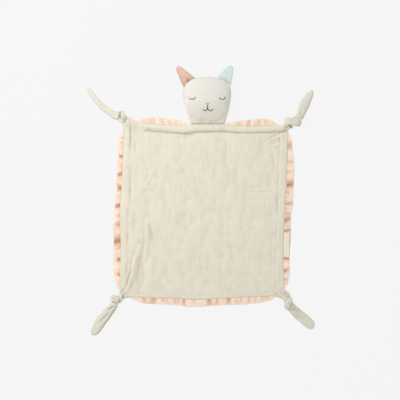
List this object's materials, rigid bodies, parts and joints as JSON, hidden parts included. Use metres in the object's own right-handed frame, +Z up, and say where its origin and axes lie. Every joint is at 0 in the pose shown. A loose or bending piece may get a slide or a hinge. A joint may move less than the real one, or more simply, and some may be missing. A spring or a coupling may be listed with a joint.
{
  "type": "comfort blanket",
  "caption": "Comfort blanket: a flat muslin square with a stuffed cat's head at its top edge, gathered trims along its seams and a knotted tail at each corner.",
  "frame": {"origin": "middle of the blanket's underside, on the surface it lies on", "axes": "+Z up out of the face side, +Y from the blanket towards the head, +X to the right of the face as seen from above"},
  "size_m": [0.4128, 0.4898, 0.046],
  "materials": {
    "cream_muslin": "matt cream double gauze muslin, finely crinkled",
    "peach_trim": "matt peach cotton, gathered",
    "cream_cotton": "matt cream brushed cotton, finely mottled",
    "peach_cloth": "matt peach cotton",
    "mint_cloth": "matt pale mint cotton",
    "fibrefill": "white polyester fibre",
    "grey_floss": "dark grey embroidery floss",
    "pink_floss": "dusty pink embroidery floss",
    "label_tape": "plain cream woven tape"
  },
  "bodies": {
    "blanket": {"back_panel": "cream_muslin", "front_panel": "cream_muslin"},
    "trim_right": {"trim_right": "peach_trim"},
    "trim_top_right": {"trim_top_right": "peach_trim"},
    "trim_top_left": {"trim_top_left": "peach_trim"},
    "trim_left": {"trim_left": "peach_trim"},
    "trim_bottom": {"trim_bottom": "peach_trim"},
    "side_label": {"side_label": "label_tape"},
    "head": {"head_front": "cream_cotton", "head_back": "cream_cotton", "head_filling": "fibrefill", "eye_left": "grey_floss", "eye_right": "grey_floss", "nose": "pink_floss", "mouth": "grey_floss"},
    "ear_left": {"ear_left_front": "peach_cloth", "ear_left_back": "cream_cotton"},
    "ear_right": {"ear_right_front": "mint_cloth", "ear_right_back": "cream_cotton"},
    "knot_top_left": {"knot_top_left": "cream_muslin"},
    "tail_top_left": {"tail_top_left_front": "cream_muslin", "tail_top_left_back": "cream_muslin"},
    "knot_top_right": {"knot_top_right": "cream_muslin"},
    "tail_top_right": {"tail_top_right_front": "cream_muslin", "tail_top_right_back": "cream_muslin"},
    "knot_bottom_left": {"knot_bottom_left": "cream_muslin"},
    "tail_bottom_left": {"tail_bottom_left_front": "cream_muslin", "tail_bottom_left_back": "cream_muslin"},
    "knot_bottom_right": {"knot_bottom_right": "cream_muslin"},
    "tail_bottom_right": {"tail_bottom_right_front": "cream_muslin", "tail_bottom_right_back": "cream_muslin"}
  },
  "joints": [
    {"name": "trim_right_lift", "type": "hinge", "parent": "blanket", "child": "trim_right", "pos_m": [0.14961, 0.00076, 0.0016], "axis": [-0.0192, -0.9998, 0], "range_deg": [0, 90]},
    {"name": "trim_top_right_lift", "type": "hinge", "parent": "blanket", "child": "trim_top_right", "pos_m": [0.08398, 0.1576, 0.0016], "axis": [1, 0, 0], "range_deg": [0, 90]},
    {"name": "trim_top_left_lift", "type": "hinge", "parent": "blanket", "child": "trim_top_left", "pos_m": [-0.07428, 0.1576, 0.0016], "axis": [1, 0, 0], "range_deg": [0, 90]},
    {"name": "trim_left_lift", "type": "hinge", "parent": "blanket", "child": "trim_left", "pos_m": [-0.1496, 0.00002, 0.0016], "axis": [0.0192, 0.9998, 0], "range_deg": [0, 90]},
    {"name": "trim_bottom_lift", "type": "hinge", "parent": "blanket", "child": "trim_bottom", "pos_m": [-0.00449, -0.1576, 0.0016], "axis": [-1, 0, 0], "range_deg": [0, 90]},
    {"name": "side_label_lift", "type": "hinge", "parent": "trim_right", "child": "side_label", "pos_m": [0.15033, -0.06107, 0.0037], "axis": [-0.0192, -0.9998, 0], "range_deg": [0, 75]},
    {"name": "head_nod", "type": "hinge", "parent": "blanket", "child": "head", "pos_m": [0.0067, 0.1583, 0.00175], "axis": [1, 0, 0], "range_deg": [0, 90]},
    {"name": "ear_left_fold", "type": "hinge", "parent": "head", "child": "ear_left", "pos_m": [-0.03022, 0.23345, 0.019], "axis": [0.6867, 0.727, 0], "range_deg": [-25, 75]},
    {"name": "ear_right_fold", "type": "hinge", "parent": "head", "child": "ear_right", "pos_m": [0.03798, 0.2379, 0.019], "axis": [0.8408, -0.5414, 0], "range_deg": [-25, 75]},
    {"name": "knot_top_left_turn", "type": "hinge", "parent": "blanket", "child": "knot_top_left", "pos_m": [-0.15077, 0.17097, 0.00738], "axis": [0, 0, 1], "range_deg": [-30, 30]},
    {"name": "tail_top_left_lift", "type": "hinge", "parent": "knot_top_left", "child": "tail_top_left", "pos_m": [-0.15077, 0.17097, 0.00738], "axis": [0.454, 0.891, 0], "range_deg": [0, 90]},
    {"name": "knot_top_right_turn", "type": "hinge", "parent": "blanket", "child": "knot_top_right", "pos_m": [0.16219, 0.16195, 0.00861], "axis": [0, 0, 1], "range_deg": [-30, 30]},
    {"name": "tail_top_right_lift", "type": "hinge", "parent": "knot_top_right", "child": "tail_top_right", "pos_m": [0.16219, 0.16195, 0.00861], "axis": [0.9397, -0.342, 0], "range_deg": [0, 90]},
    {"name": "knot_bottom_left_turn", "type": "hinge", "parent": "blanket", "child": "knot_bottom_left", "pos_m": [-0.15723, -0.16051, 0.00779], "axis": [0, 0, 1], "range_deg": [-30, 30]},
    {"name": "tail_bottom_left_lift", "type": "hinge", "parent": "knot_bottom_left", "child": "tail_bottom_left", "pos_m": [-0.15723, -0.16051, 0.00779], "axis": [-0.6947, 0.7193, 0], "range_deg": [0, 90]},
    {"name": "knot_bottom_right_turn", "type": "hinge", "parent": "blanket", "child": "knot_bottom_right", "pos_m": [0.15257, -0.16493, 0.0082], "axis": [0, 0, 1], "range_deg": [-30, 30]},
    {"name": "tail_bottom_right_lift", "type": "hinge", "parent": "knot_bottom_right", "child": "tail_bottom_right", "pos_m": [0.15257, -0.16493, 0.0082], "axis": [-0.6947, -0.7193, 0], "range_deg": [0, 90]}
  ]
}
